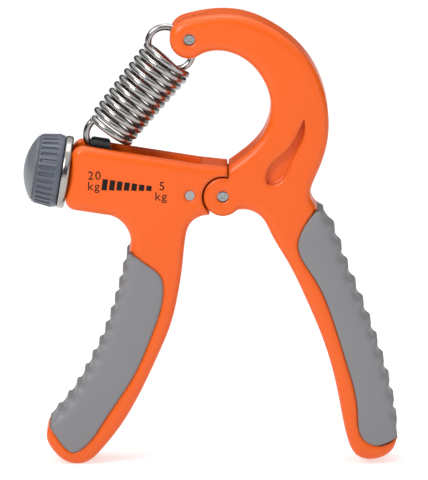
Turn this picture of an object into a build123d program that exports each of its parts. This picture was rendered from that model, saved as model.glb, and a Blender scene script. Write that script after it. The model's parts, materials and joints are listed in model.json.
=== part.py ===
from build123d import *
import math
import os

# Adjustable hand grip strengthener, in millimetres.
# The model is laid out with the main pivot at the origin, X to the right, Z up and Y through
# the width. At the end everything is shifted, so the origin is the bottom centre of the whole.

# ------------------------------------------------------------------ driving sizes
FIXED_ARM_WIDTH = 21.0
MOVING_ARM_WIDTH = 20.0
HANDLE_LENGTH = 89.5          # pivot to the lowest point of the fixed handle
EDGE_RADIUS = 2.6             # rounding along both faces of the arms
CORNER_RADIUS = 3.6           # rounding of the housing's end corners, over EDGE_RADIUS
SLEEVE_PROUD = 0.8            # how far a grip sleeve stands out from the faces of its arm
SLEEVE_WALL = 3.2             # rubber thickness over the core
RIB_COUNT = 11
RIB_HEIGHT = 0.9

KNUCKLE_RADIUS = 6.3          # round end of each arm at the pivot
KNUCKLE_GAP = 0.6             # radial gap round the knuckle
TONGUE_WIDTH = 8.0            # middle leaf of the fixed arm between the moving arm's cheeks
WASHER_THICKNESS = 0.5
WASHER_RADIUS = 5.2
FACE_GAP = 0.05               # side play of one face against another
RUNNING_GAP = 0.05            # radial play of a pin that turns
PIVOT_BARREL_RADIUS = 2.5
HOOK_PIN_RADIUS = 2.0
SCREW_HEAD_RADIUS = 1.45
SCREW_HEAD_HEIGHT = 1.1
SCREW_SHANK_RADIUS = 1.0
SCREW_SHANK_LENGTH = 4.5
HEAD_RECESS_GAP = 0.45        # radial gap round a screw head
HEAD_SINK = 0.7               # how far a screw head lies below the face
DRIVE_SLOT_WIDTH = 0.5
DRIVE_SLOT_DEPTH = 0.6
DRIVE_SLOT_SHARE = 1.4        # length of a drive slot over the head's radius

HOOK_PIN_X = -11.0
HOOK_PIN_Z = 52.1
HOOK_END_RADIUS = 6.5
HOOK_END_ANGLES = (112, 200, 288)  # degrees round the hook pin, from the back to the throat

SCREW_TILT = 8.7              # degrees that the lead screw rises towards the knob
SCREW_TIP_X = -10.8           # where the lead screw's axis meets the cross pin
SCREW_TIP_Z = 0.5
HOUSING_END = 40.3            # cross pin to the housing's end face, along the lead screw
HOUSING_HALF_HEIGHT = 10.8
BELLY_STATION = 26.5          # cross pin to where the housing's underside curves into the handle
HOUSING_WALL = 3.1            # side walls of the open channel
HOUSING_FLOOR = 6.0           # channel floor below the lead screw's axis
END_WALL = 3.4
WELL_TOP = 6.2                # end wall and pivot web reach this far above the axis
WELL_START = 4.5              # cross pin to the start of the deep part of the channel
CHANNEL_START = -2.0          # cross pin to the start of the shallow part
CHANNEL_CHAMFER = 1.2

THREAD_RADIUS = 3.0
JOURNAL_RADIUS = 2.5
TIP_RADIUS = 2.0
TIP_START = 1.7
CROSS_PIN_RADIUS = 1.55
CROSS_PIN_SINK = 0.5
CROSS_PIN_RECESS = 1.85
BUSH_WALL = 1.5
BUSH_FLANGE = 1.2
BUSH_FLANGE_RIM = 1.2
COLLAR_RADIUS = 12.0
COLLAR_LENGTH = 2.8
COLLAR_RECESS = 1.2
COLLAR_ROUNDING = 0.9

KNOB_BACK_RADIUS = 12.45
KNOB_FRONT_RADIUS = 11.35
KNOB_LENGTH = 8.2
KNOB_FLUTES = 32
KNOB_FLUTE_RADIUS = 0.55
KNOB_ROUNDING = 0.5
KNOB_RIM = 1.1                # plain band at each end of the fluted part
KNOB_POCKET_RADIUS = 7.0
KNOB_POCKET_DEPTH = 5.2
KNOB_WASHER_RADIUS = 5.5
KNOB_WASHER_THICKNESS = 0.8
KNOB_NUT_ACROSS_FLATS = 8.0
KNOB_NUT_HEIGHT = 3.2
CAP_RISE = 4.0
CAP_SHOULDER = 0.5            # how far the cap's rim lies inside the knob's front edge
CAP_SPIGOT = 1.0
CAP_WALL = 1.2

SLIDER_LENGTH = 6.7
SLIDER_STATION = 31.6         # cross pin to the slider's middle, along the lead screw, at 20 kg
SLIDER_SIDE_GAP = 0.5
SLIDER_BOTTOM = 5.4
SLIDER_SHOULDER = 6.4
CHEEK_THICKNESS = 3.0
CHEEK_TOP = 12.5
CLEVIS_ROUNDING = 1.2
SLIDER_WEB = 1.6              # between the lead screw and the floor of the loop's slot
SLIDER_PIN_RISE = 10.8        # slider pin above the lead screw's axis
SLIDER_PIN_RADIUS = 1.0

WIRE_DIAMETER = 2.0
COIL_RADIUS = 7.85            # to the middle of the wire
COIL_PITCH = 2.7
COIL_TURNS = 11.5
COIL_START = 5.4              # slider pin to the first turn, along the spring
WIRE_SIDE_GAP = 0.6           # play of a spring loop in its slot
LOOP_GAP = 0.2                # play of a spring loop over its pin
LOWER_LOOP_RADIUS = 5.8
UPPER_LOOP_RADIUS = 7.9
SEGMENT_GAP = 0.1
COIL_JOIN = 0.2               # turn at which the lower loop's wire has reached the coil
SPRING_CUTS = (0.25, 4.0, 7.75)  # turns at which the wire is parted into four lengths
PLACES_PER_TURN = 12
LOWER_LOOP_ANGLES = range(300, 80, -20)
UPPER_LOOP_ANGLES = range(130, -150, -20)

SCOOP_DEPTH = 1.9             # finger-side scoop in both faces of the moving arm

# ------------------------------------------------------------------ derived places
TILT = math.radians(SCREW_TILT)
SCREW = Plane(
    origin=(SCREW_TIP_X, 0, SCREW_TIP_Z),
    x_dir=(0, -1, 0),
    z_dir=(-math.cos(TILT), 0, math.sin(TILT)),
)
HOOK_PIN = (HOOK_PIN_X, HOOK_PIN_Z)
SEAT_RADIUS = KNUCKLE_RADIUS + KNUCKLE_GAP
CHEEK_GAP_WIDTH = TONGUE_WIDTH + 2 * (WASHER_THICKNESS + 2 * FACE_GAP)
CHANNEL_WIDTH = FIXED_ARM_WIDTH - 2 * HOUSING_WALL
WELL_END = HOUSING_END - END_WALL
KNOB_START = HOUSING_END + COLLAR_LENGTH + FACE_GAP
KNOB_END = KNOB_START + KNOB_LENGTH
POCKET_FLOOR = KNOB_END - KNOB_POCKET_DEPTH
WIRE_RADIUS = WIRE_DIAMETER / 2
LOOP_SLOT_WIDTH = WIRE_DIAMETER + 2 * WIRE_SIDE_GAP


def along_screw(station, rise):
    """Place in the XZ plane, from a station along the lead screw and a height above it."""
    x = SCREW_TIP_X - station * math.cos(TILT) + rise * math.sin(TILT)
    z = SCREW_TIP_Z + station * math.sin(TILT) + rise * math.cos(TILT)
    return (x, z)


SLIDER_PIN = along_screw(SLIDER_STATION, SLIDER_PIN_RISE)
SPRING_REACH = math.dist(SLIDER_PIN, HOOK_PIN)
SPRING_ANGLE = math.atan2(HOOK_PIN_Z - SLIDER_PIN[1], HOOK_PIN_X - SLIDER_PIN[0])
LOWER_LOOP_CENTRE = LOWER_LOOP_RADIUS - WIRE_RADIUS - SLIDER_PIN_RADIUS - LOOP_GAP
UPPER_LOOP_CENTRE = SPRING_REACH - (UPPER_LOOP_RADIUS - WIRE_RADIUS - HOOK_PIN_RADIUS - LOOP_GAP)


# ------------------------------------------------------------------ outlines in the XZ plane
def leg(*points):
    """Handle outline points: X in mm, and the share of the handle's length below the pivot."""
    return [(x, -share * HANDLE_LENGTH) for x, share in points]


FIXED_LEG_OUTER = leg(
    (-30.3, 0.160), (-30.9, 0.215), (-33.6, 0.316), (-36.3, 0.429), (-40.0, 0.543),
    (-44.5, 0.644), (-50.1, 0.747), (-56.4, 0.842),
)
FIXED_LEG_END = leg((-58.2, 0.893), (-55.6, 0.955), (-50.4, 0.996), (-44.6, 0.991), (-40.3, 0.950))
FIXED_LEG_INNER = leg(
    (-34.1, 0.864), (-27.1, 0.731), (-21.2, 0.590), (-17.1, 0.476), (-14.7, 0.363),
    (-13.2, 0.249), (-12.2, 0.149),
)
FIXED_SLEEVE_EDGE = leg(
    (-30.4, 0.205), (-25.3, 0.250), (-20.3, 0.300), (-19.8, 0.370), (-23.2, 0.505), (-29.4, 0.665),
    (-39.4, 0.838), (-46.3, 0.938), (-49.4, 0.954), (-53.2, 0.922), (-57.0, 0.851),
)
MOVING_LEG_OUTER = leg(
    (34.9, 0.085), (40.6, 0.232), (45.7, 0.377), (49.5, 0.498), (52.9, 0.619), (55.7, 0.741),
    (57.6, 0.867),
)
MOVING_LEG_END = leg((56.2, 0.945), (50.5, 0.982), (44.4, 0.970), (41.1, 0.902))
MOVING_LEG_INNER = leg(
    (38.7, 0.777), (36.2, 0.648), (31.8, 0.498), (27.4, 0.383), (21.1, 0.240), (15.9, 0.140),
)
MOVING_SLEEVE_EDGE = leg(
    (30.6, 0.050), (26.3, 0.121), (24.7, 0.176), (29.9, 0.301), (36.2, 0.458), (41.0, 0.629),
    (44.4, 0.801), (46.5, 0.907), (49.6, 0.927), (57.2, 0.895),
)
HOOK_OUTER = [
    (-6.5, 59.8), (5.5, 59.9), (16.8, 55.4), (27.6, 45.9), (34.0, 31.5), (34.4, 18.4), (30.6, 6.7),
    (28.8, 0.6), (31.0, -4.3),
]
HOOK_INNER = [
    (5.5, 12.4), (12.9, 19.8), (15.7, 30.6), (12.2, 40.4), (5.2, 46.6), (-2.1, 48.3),
]
SCOOP = [
    (26.7, 26.0), (26.3, 19.2), (22.2, 10.9), (18.2, 4.5), (14.8, 4.2), (14.6, 8.4), (20.9, 15.2),
    (25.2, 22.4), (26.7, 26.0),
]
FIXED_NECK_OUTER = [(-33.2, -8.6)]
FIXED_NECK_INNER = [(-10.9, -9.4), (-8.2, -7.1)]
FIXED_THROAT = (-4.7, -6.3)
FIXED_KNUCKLE_SIDE = (-2.0, 0.0)
HOUSING_TOP_BEND = (-7.7, 10.8)
MOVING_NECK_INNER = [(12.6, -6.9), (8.6, -4.7)]
MOVING_THROAT = (3.6, -5.2)
HOOK_SLOT = [(-2.0, 45.0), (-5.4, 62.0), (-26.0, 62.0), (-26.0, 42.0), (-2.0, 45.0)]
SEAM_X = 1.5                  # the fixed arm's lip ends here, which is the rest stop
SEAM_GAP = 0.4
SEAM_TOP = 9.8
LAP_REACH = 0.8               # the moving arm's inner lip reaches this far into the fixed arm
LAP_LOW = 7.3
LAP_HIGH = 8.8
LAP_WIDTH = 10.0
LAP_GAP = 0.3
LAP_ROOT = 1.0                # how far the lip starts inside the moving arm
SLEEVE_OVERHANG = 20.0        # cutting outlines reach this far past the outer edge


def polar(centre, radius, degrees):
    """Point on a circle in the XZ plane."""
    angle = math.radians(degrees)
    return (centre[0] + radius * math.cos(angle), centre[1] + radius * math.sin(angle))


def slab(outline, width):
    """Solid of an outline in the XZ plane, centred on the middle plane."""
    return extrude(Plane.XZ * make_face(outline), amount=width / 2, both=True)


def cross_rod(place, radius, length, middle=0.0):
    """Round rod along Y, centred on a place in the XZ plane."""
    centre = Location((place[0], middle, place[1]), (90, 0, 0))
    return centre * Cylinder(radius, length)


def face_edges(solid, width):
    """Edges that lie in the two flat faces of a slab."""
    flat = [edge for edge in solid.edges() if abs(abs(edge.center().Y) - width / 2) < 0.01]
    return [edge for edge in flat if edge.bounding_box().size.Y < 0.01]


def outer_rims(solid, width):
    """The rims of both faces, without the short ones that close the outline at the pivot."""
    reach = KNUCKLE_RADIUS + EDGE_RADIUS
    return [
        edge for edge in face_edges(solid, width)
        if math.hypot(edge.center().X, edge.center().Z) > reach
    ]


def shifted(points, distance):
    """Points moved sideways, to the left of the way along them."""
    curve = Spline(*points)
    moved = []
    for index in range(len(points)):
        share = index / (len(points) - 1)
        place = curve @ share
        way = curve % share
        moved.append((place.X - way.Y * distance, place.Y + way.X * distance))
    return moved


def scalloped(points):
    """Row of outward bumps along a curve through the points, as arcs from valley to valley."""
    curve = Spline(*points)
    side = 1 if points[-1][0] > 0 else -1
    ridge = Curve()
    for index in range(RIB_COUNT):
        start = curve @ (index / RIB_COUNT)
        middle = curve @ ((index + 0.5) / RIB_COUNT)
        way = curve % ((index + 0.5) / RIB_COUNT)
        crest = (middle.X - side * way.Y * RIB_HEIGHT, middle.Y + side * way.X * RIB_HEIGHT)
        ridge += ThreePointArc(start, crest, curve @ ((index + 1) / RIB_COUNT))
    return ridge


# ------------------------------------------------------------------ grip sleeves and their cores
def sleeve_pieces(edge, outer, side, arm_width):
    """A grip sleeve, the room that it takes from its arm, and the core that it wraps."""
    sleeve_outer = [edge[0]] + outer[1:] + [edge[-1]]
    far = [
        (edge[-1][0] + side * SLEEVE_OVERHANG, edge[-1][1]),
        (edge[-1][0] + side * SLEEVE_OVERHANG, edge[0][1]),
    ]
    room = slab(Spline(*edge) + Polyline(edge[-1], *far, edge[0]), 2 * arm_width)
    body = slab(Spline(*edge) + scalloped(sleeve_outer), arm_width + 2 * SLEEVE_PROUD)

    core_outer = shifted(sleeve_outer, -side * SLEEVE_WALL)
    core_inner = shifted(edge, -side * SLEEVE_WALL / 2)
    core_outline = Spline(*core_outer) + Spline(*core_inner)
    core_outline += Line(core_inner[0], core_outer[0]) + Line(core_outer[-1], core_inner[-1])
    core = slab(core_outline, arm_width - 2 * SLEEVE_WALL)
    return body - core, room, core & room


# ------------------------------------------------------------------ seam over the pivot
def lap(gap):
    """Inner lip that closes the seam over the pivot, or the room for it with a gap all round."""
    start = SEAM_X - LAP_REACH - gap
    length = LAP_REACH + gap + SEAM_GAP + LAP_ROOT
    height = LAP_HIGH - LAP_LOW + 2 * gap
    block = Box(length, LAP_WIDTH + 2 * gap, height, align=(Align.MIN, Align.CENTER, Align.MIN))
    return Pos(start, 0, LAP_LOW - gap) * block


# ------------------------------------------------------------------ fixed arm
def fixed_arm_and_sleeve():
    top_left = along_screw(HOUSING_END, HOUSING_HALF_HEIGHT)
    bottom_left = along_screw(HOUSING_END, -HOUSING_HALF_HEIGHT)
    belly = along_screw(BELLY_STATION, -HOUSING_HALF_HEIGHT)
    lip = (SEAM_X, SEAM_TOP)
    leg_edge = Spline(
        belly, *FIXED_NECK_OUTER, *FIXED_LEG_OUTER, *FIXED_LEG_END, *FIXED_LEG_INNER,
        *FIXED_NECK_INNER, FIXED_THROAT,
    )
    top = Polyline(bottom_left, top_left, HOUSING_TOP_BEND, lip)
    closing = Polyline(FIXED_THROAT, FIXED_KNUCKLE_SIDE, (SEAM_X, KNUCKLE_RADIUS), lip)
    arm = slab(top + Line(bottom_left, belly) + leg_edge + closing, FIXED_ARM_WIDTH)

    corners = [
        edge for edge in arm.edges().filter_by(Axis.Y)
        if min(math.dist(place, (edge.center().X, edge.center().Z))
               for place in (top_left, bottom_left)) < 0.01
    ]
    arm = fillet(corners, CORNER_RADIUS)
    arm = fillet(outer_rims(arm, FIXED_ARM_WIDTH), EDGE_RADIUS)

    sleeve, room, core = sleeve_pieces(FIXED_SLEEVE_EDGE, FIXED_LEG_OUTER, -1, FIXED_ARM_WIDTH)
    arm = arm - room + core

    # knuckle: a middle tongue, and a seat on each side for the moving arm's cheeks
    seat_depth = FIXED_ARM_WIDTH / 2
    for side in (-1, 1):
        middle = side * (TONGUE_WIDTH + seat_depth) / 2
        arm -= cross_rod((0, 0), SEAT_RADIUS, seat_depth, middle)
    arm += cross_rod((0, 0), KNUCKLE_RADIUS, TONGUE_WIDTH)
    arm -= cross_rod((0, 0), PIVOT_BARREL_RADIUS + RUNNING_GAP, FIXED_ARM_WIDTH)
    arm -= lap(LAP_GAP)

    # channel for the slider: a deep well along the lead screw, open at the top
    well_length = WELL_END - WELL_START
    tall = 4 * HOUSING_HALF_HEIGHT
    low = (Align.CENTER, Align.MIN, Align.MIN)
    well = Pos(0, -HOUSING_FLOOR, WELL_START) * Box(CHANNEL_WIDTH, tall, well_length, align=low)
    channel_length = 2 * HOUSING_END
    trough = Pos(0, WELL_TOP, CHANNEL_START) * Box(CHANNEL_WIDTH, tall, channel_length, align=low)
    arm -= SCREW * well
    arm -= SCREW * trough

    # bores of the tip bearing, the rear bush and the cross pin
    bush_radius = JOURNAL_RADIUS + RUNNING_GAP + BUSH_WALL
    tip_bush_radius = TIP_RADIUS + RUNNING_GAP + BUSH_WALL
    up = (Align.CENTER, Align.CENTER, Align.MIN)
    arm -= SCREW * (Pos(0, 0, WELL_END - 1) * Cylinder(bush_radius, END_WALL + 2, align=up))
    tip_bore = Cylinder(tip_bush_radius, WELL_START, align=up)
    arm -= SCREW * (Pos(0, 0, TIP_START - RUNNING_GAP) * tip_bore)
    tip = (SCREW_TIP_X, SCREW_TIP_Z)
    arm -= cross_rod(tip, CROSS_PIN_RADIUS, FIXED_ARM_WIDTH)
    for side in (-1, 1):
        arm -= cross_rod(tip, CROSS_PIN_RECESS, 2 * CROSS_PIN_SINK, side * FIXED_ARM_WIDTH / 2)
    return arm, sleeve


# ------------------------------------------------------------------ moving arm
def moving_arm_and_sleeve():
    cap_start, cap_middle, cap_end = [
        polar(HOOK_PIN, HOOK_END_RADIUS, degrees) for degrees in HOOK_END_ANGLES
    ]
    seam = SEAM_X + SEAM_GAP
    outer = Spline(
        cap_start, *HOOK_OUTER, *MOVING_LEG_OUTER, *MOVING_LEG_END, *MOVING_LEG_INNER,
        *MOVING_NECK_INNER, MOVING_THROAT,
    )
    inner = Spline((seam, SEAM_TOP), *HOOK_INNER, cap_end)
    closing = Polyline(MOVING_THROAT, (seam, 0), (seam, SEAM_TOP))
    arm = slab(outer + closing + inner + ThreePointArc(cap_end, cap_middle, cap_start),
               MOVING_ARM_WIDTH)
    arm = fillet(outer_rims(arm, MOVING_ARM_WIDTH), EDGE_RADIUS)
    arm += cross_rod((0, 0), KNUCKLE_RADIUS, MOVING_ARM_WIDTH)
    arm += lap(0)

    sleeve, room, core = sleeve_pieces(MOVING_SLEEVE_EDGE, MOVING_LEG_OUTER, 1, MOVING_ARM_WIDTH)
    arm = arm - room + core

    # room for the fixed arm's tongue, and the slot that the spring's upper loop swings in
    arm -= cross_rod((0, 0), SEAT_RADIUS, CHEEK_GAP_WIDTH)
    arm -= slab(Polyline(*HOOK_SLOT), LOOP_SLOT_WIDTH)

    # scoop in both faces
    for side in (-1, 1):
        scoop = slab(Spline(*SCOOP), 2 * SCOOP_DEPTH)
        arm -= Pos(0, side * MOVING_ARM_WIDTH / 2, 0) * scoop

    # bores of the pivot barrel and the hook pin, with a recess for each screw head
    recess = SCREW_HEAD_RADIUS + HEAD_RECESS_GAP
    recess_depth = HEAD_SINK + SCREW_HEAD_HEIGHT
    for place, radius in (((0, 0), PIVOT_BARREL_RADIUS), (HOOK_PIN, HOOK_PIN_RADIUS)):
        arm -= cross_rod(place, radius, MOVING_ARM_WIDTH - 2 * recess_depth)
        for side in (-1, 1):
            arm -= cross_rod(place, recess, 2 * recess_depth, side * MOVING_ARM_WIDTH / 2)
    return arm, sleeve


# ------------------------------------------------------------------ pins, screws and washers
def barrel(place, radius):
    """Barrel pin between the two screw heads, tapped at both ends."""
    length = MOVING_ARM_WIDTH - 2 * (HEAD_SINK + SCREW_HEAD_HEIGHT)
    pin = cross_rod(place, radius, length)
    for side in (-1, 1):
        middle = side * (length - SCREW_SHANK_LENGTH) / 2
        pin -= cross_rod(place, SCREW_SHANK_RADIUS, SCREW_SHANK_LENGTH, middle)
    return pin


def head_screws(place):
    """Pair of cross-recessed screws, one in each end of a barrel pin."""
    screws = []
    face = MOVING_ARM_WIDTH / 2 - HEAD_SINK
    for side in (-1, 1):
        head = cross_rod(place, SCREW_HEAD_RADIUS, SCREW_HEAD_HEIGHT,
                         side * (face - SCREW_HEAD_HEIGHT / 2))
        shank_middle = side * (face - SCREW_HEAD_HEIGHT - SCREW_SHANK_LENGTH / 2)
        screw = head + cross_rod(place, SCREW_SHANK_RADIUS, SCREW_SHANK_LENGTH, shank_middle)
        centre = Location((place[0], side * face, place[1]), (0, 45, 0))
        arm_length = DRIVE_SLOT_SHARE * SCREW_HEAD_RADIUS
        screw -= centre * Box(arm_length, 2 * DRIVE_SLOT_DEPTH, DRIVE_SLOT_WIDTH)
        screw -= centre * Box(DRIVE_SLOT_WIDTH, 2 * DRIVE_SLOT_DEPTH, arm_length)
        screws.append(screw)
    return Compound(children=screws)


def pivot_washers():
    """Two thin washers between the tongue and the cheeks."""
    washers = []
    for side in (-1, 1):
        middle = side * ((TONGUE_WIDTH + WASHER_THICKNESS) / 2 + FACE_GAP)
        disc = cross_rod((0, 0), WASHER_RADIUS, WASHER_THICKNESS, middle)
        washers.append(disc - cross_rod((0, 0), PIVOT_BARREL_RADIUS, WASHER_THICKNESS, middle))
    return Compound(children=washers)


def tip_cross_pin():
    return cross_rod((SCREW_TIP_X, SCREW_TIP_Z), CROSS_PIN_RADIUS,
                     FIXED_ARM_WIDTH - 2 * CROSS_PIN_SINK)


# ------------------------------------------------------------------ lead screw and knob
def ring(outer, inner, start, length):
    """Ring about the lead screw's axis, from a station along it."""
    up = (Align.CENTER, Align.CENTER, Align.MIN)
    tube = Cylinder(outer, length, align=up) - Cylinder(inner, length, align=up)
    return SCREW * (Pos(0, 0, start) * tube)


def rod(radius, start, end):
    """Round length of shaft about the lead screw's axis, between two stations."""
    up = (Align.CENTER, Align.CENTER, Align.MIN)
    return SCREW * (Pos(0, 0, start) * Cylinder(radius, end - start, align=up))


def tip_bearing():
    """Flanged bush in the pivot web, for the lead screw's tip."""
    bore = TIP_RADIUS + RUNNING_GAP
    bush = ring(bore + BUSH_WALL, bore, TIP_START + RUNNING_GAP, WELL_START - TIP_START)
    flange = ring(bore + BUSH_WALL + BUSH_FLANGE_RIM, bore, WELL_START, BUSH_FLANGE)
    return bush + flange


def rear_bush():
    """Flanged bush in the end wall, for the lead screw's journal."""
    bore = JOURNAL_RADIUS + RUNNING_GAP
    bush = ring(bore + BUSH_WALL, bore, WELL_END, END_WALL)
    flange = ring(bore + BUSH_WALL + BUSH_FLANGE_RIM, bore, HOUSING_END, COLLAR_RECESS - FACE_GAP)
    return bush + flange


def collar_ring():
    """Bright metal ring between the housing and the knob, hollow over the bush's flange."""
    hub = JOURNAL_RADIUS + RUNNING_GAP + BUSH_WALL + BUSH_FLANGE_RIM
    plate = ring(COLLAR_RADIUS, JOURNAL_RADIUS + RUNNING_GAP, HOUSING_END, COLLAR_LENGTH)
    plate = fillet(plate.edges().filter_by(GeomType.CIRCLE).group_by(SortBy.RADIUS)[-1],
                   COLLAR_ROUNDING)
    return plate - rod(hub, HOUSING_END, HOUSING_END + COLLAR_RECESS)


def lead_screw():
    """Lead screw: tip, threaded length and journal, carried on through the knob."""
    thread_start = WELL_START + BUSH_FLANGE + FACE_GAP
    thread_end = WELL_END - FACE_GAP
    nut_end = POCKET_FLOOR + KNOB_WASHER_THICKNESS + KNOB_NUT_HEIGHT
    screw = rod(TIP_RADIUS, TIP_START, thread_start)
    screw += rod(THREAD_RADIUS, thread_start, thread_end)
    return screw + rod(JOURNAL_RADIUS, thread_end, nut_end)


def adjusting_knob():
    """Fluted knob, wider at the back, with a pocket for the nut in front."""
    profile = Polyline(
        (0, 0), (KNOB_BACK_RADIUS, 0), (KNOB_BACK_RADIUS, KNOB_RIM),
        (KNOB_FRONT_RADIUS, KNOB_LENGTH), (0, KNOB_LENGTH), (0, 0),
    )
    knob = revolve(Plane.XZ * make_face(profile), Axis.Z)
    knob = fillet(knob.edges().filter_by(GeomType.CIRCLE).group_by(Axis.Z)[-1],
                  KNOB_ROUNDING)
    lean = math.atan2(KNOB_BACK_RADIUS - KNOB_FRONT_RADIUS, KNOB_LENGTH - KNOB_RIM)
    flute_length = KNOB_LENGTH - 2 * KNOB_RIM
    middle_radius = (KNOB_BACK_RADIUS + KNOB_FRONT_RADIUS) / 2
    flute = Cylinder(KNOB_FLUTE_RADIUS, flute_length, rotation=(0, -math.degrees(lean), 0))
    flutes = [
        Rot(0, 0, 360 * index / KNOB_FLUTES) * Pos(middle_radius, 0, KNOB_LENGTH / 2) * flute
        for index in range(KNOB_FLUTES)
    ]
    knob -= flutes
    knob = SCREW * (Pos(0, 0, KNOB_START) * knob)
    knob -= rod(JOURNAL_RADIUS, KNOB_START, KNOB_END)
    return knob - rod(KNOB_POCKET_RADIUS, POCKET_FLOOR, KNOB_END)


def knob_washer():
    return ring(KNOB_WASHER_RADIUS, JOURNAL_RADIUS, POCKET_FLOOR, KNOB_WASHER_THICKNESS)


def knob_nut():
    """Hexagon nut on the end of the lead screw."""
    start = POCKET_FLOOR + KNOB_WASHER_THICKNESS
    hexagon = RegularPolygon(KNOB_NUT_ACROSS_FLATS / 2, 6, major_radius=False)
    blank = SCREW * (Pos(0, 0, start) * extrude(hexagon, amount=KNOB_NUT_HEIGHT))
    return blank - rod(JOURNAL_RADIUS, start, start + KNOB_NUT_HEIGHT)


def knob_cap():
    """Domed cap that closes the knob's pocket, with a spigot into it."""
    rim = KNOB_FRONT_RADIUS - CAP_SHOULDER
    dome_radius = (rim ** 2 + CAP_RISE ** 2) / (2 * CAP_RISE)
    up = (Align.CENTER, Align.CENTER, Align.MIN)
    dome = Pos(0, 0, CAP_RISE - dome_radius) * Sphere(dome_radius)
    cap = dome & Cylinder(KNOB_FRONT_RADIUS, 2 * CAP_RISE, align=up)
    cap = SCREW * (Pos(0, 0, KNOB_END) * cap)
    inner = KNOB_POCKET_RADIUS - CAP_WALL
    spigot = ring(KNOB_POCKET_RADIUS, inner, KNOB_END - CAP_SPIGOT, CAP_SPIGOT)
    return cap + spigot


# ------------------------------------------------------------------ slider
def slider_block():
    """Block that the lead screw drives, with a clevis for the spring's lower loop."""
    width = CHANNEL_WIDTH - 2 * SLIDER_SIDE_GAP
    low = (Align.CENTER, Align.MIN, Align.CENTER)
    base = Box(width, SLIDER_BOTTOM + SLIDER_SHOULDER, SLIDER_LENGTH, align=low)
    block = Pos(0, -SLIDER_BOTTOM, SLIDER_STATION) * base
    clevis_width = LOOP_SLOT_WIDTH + 2 * CHEEK_THICKNESS
    clevis = Box(clevis_width, CHEEK_TOP, SLIDER_LENGTH, align=low)
    block += Pos(0, 0, SLIDER_STATION) * clevis
    corners = block.edges().filter_by(Axis.X).group_by(Axis.Y)[-1]
    block = fillet(corners, CLEVIS_ROUNDING)
    gap = Box(LOOP_SLOT_WIDTH, CHEEK_TOP, 2 * SLIDER_LENGTH, align=low)
    block -= Pos(0, THREAD_RADIUS + SLIDER_WEB, SLIDER_STATION) * gap
    block = SCREW * block
    block -= rod(THREAD_RADIUS + RUNNING_GAP, 0, HOUSING_END)
    return block - cross_rod(SLIDER_PIN, SLIDER_PIN_RADIUS + RUNNING_GAP, FIXED_ARM_WIDTH)


def slider_pin():
    return cross_rod(SLIDER_PIN, SLIDER_PIN_RADIUS, LOOP_SLOT_WIDTH + 2 * CHEEK_THICKNESS)


# ------------------------------------------------------------------ tension spring
def spring_place(reach, side, depth):
    """Place from a distance along the spring, one to its upper left, and one to the back."""
    x = SLIDER_PIN[0] + reach * math.cos(SPRING_ANGLE) - side * math.sin(SPRING_ANGLE)
    z = SLIDER_PIN[1] + reach * math.sin(SPRING_ANGLE) + side * math.cos(SPRING_ANGLE)
    return (x, depth, z)


def coil_place(turn):
    """Middle of the wire after a number of turns: across the front from upper left to right."""
    angle = -2 * math.pi * turn
    reach = COIL_START + COIL_PITCH * turn
    return spring_place(reach, COIL_RADIUS * math.cos(angle), COIL_RADIUS * math.sin(angle))


def loop_place(centre, radius, degrees):
    """Middle of the wire in an end loop, which lies in the middle plane."""
    angle = math.radians(degrees)
    return spring_place(centre + radius * math.cos(angle), radius * math.sin(angle), 0)


def coil_run(first, last):
    """Evenly spaced places along the coil."""
    steps = max(1, round((last - first) * PLACES_PER_TURN))
    return [coil_place(first + (last - first) * step / steps) for step in range(steps + 1)]


def wire(places):
    """Round wire through a row of places."""
    path = Spline(*places)
    profile = Plane(origin=path @ 0, z_dir=path % 0) * Circle(WIRE_RADIUS)
    return sweep(profile, path=path)


def spring_lengths():
    """The spring as four lengths of one wire: lower loop, two lengths of coil, and upper loop."""
    first, second, third = SPRING_CUTS
    trim = SEGMENT_GAP / (2 * math.pi * COIL_RADIUS)
    lower_loop = [
        loop_place(LOWER_LOOP_CENTRE, LOWER_LOOP_RADIUS, degrees) for degrees in LOWER_LOOP_ANGLES
    ]
    upper_loop = [
        loop_place(UPPER_LOOP_CENTRE, UPPER_LOOP_RADIUS, degrees) for degrees in UPPER_LOOP_ANGLES
    ]
    return {
        "spring_lower": wire(lower_loop + coil_run(COIL_JOIN, first - trim)),
        "spring_coil_low": wire(coil_run(first + trim, second - trim)),
        "spring_coil_high": wire(coil_run(second + trim, third - trim)),
        "spring_upper": wire(coil_run(third + trim, COIL_TURNS) + upper_loop),
    }


# ------------------------------------------------------------------ assembly
def build():
    """Every node by name, in the frame whose origin is the bottom centre of the whole."""
    fixed_arm, fixed_sleeve = fixed_arm_and_sleeve()
    moving_arm, moving_sleeve = moving_arm_and_sleeve()
    nodes = {
        "fixed_arm": fixed_arm,
        "fixed_grip_sleeve": fixed_sleeve,
        "moving_arm": moving_arm,
        "moving_grip_sleeve": moving_sleeve,
        "pivot_barrel": barrel((0, 0), PIVOT_BARREL_RADIUS),
        "pivot_screws": head_screws((0, 0)),
        "pivot_washers": pivot_washers(),
        "hook_pin": barrel(HOOK_PIN, HOOK_PIN_RADIUS),
        "hook_screws": head_screws(HOOK_PIN),
        "tip_cross_pin": tip_cross_pin(),
        "tip_bearing": tip_bearing(),
        "rear_bush": rear_bush(),
        "collar_ring": collar_ring(),
        "lead_screw": lead_screw(),
        "adjusting_knob": adjusting_knob(),
        "knob_washer": knob_washer(),
        "knob_nut": knob_nut(),
        "knob_cap": knob_cap(),
        "slider_block": slider_block(),
        "slider_pin": slider_pin(),
        **spring_lengths(),
    }
    boxes = [node.bounding_box() for node in nodes.values()]
    low_x = min(box.min.X for box in boxes)
    high_x = max(box.max.X for box in boxes)
    low_z = min(box.min.Z for box in boxes)
    shift = Pos(-(low_x + high_x) / 2, 0, -low_z)
    return {name: shift * node for name, node in nodes.items()}, shift


def main():
    nodes, _ = build()
    os.makedirs("parts", exist_ok=True)
    for name, node in nodes.items():
        export_step(node, f"parts/{name}.step")


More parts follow.
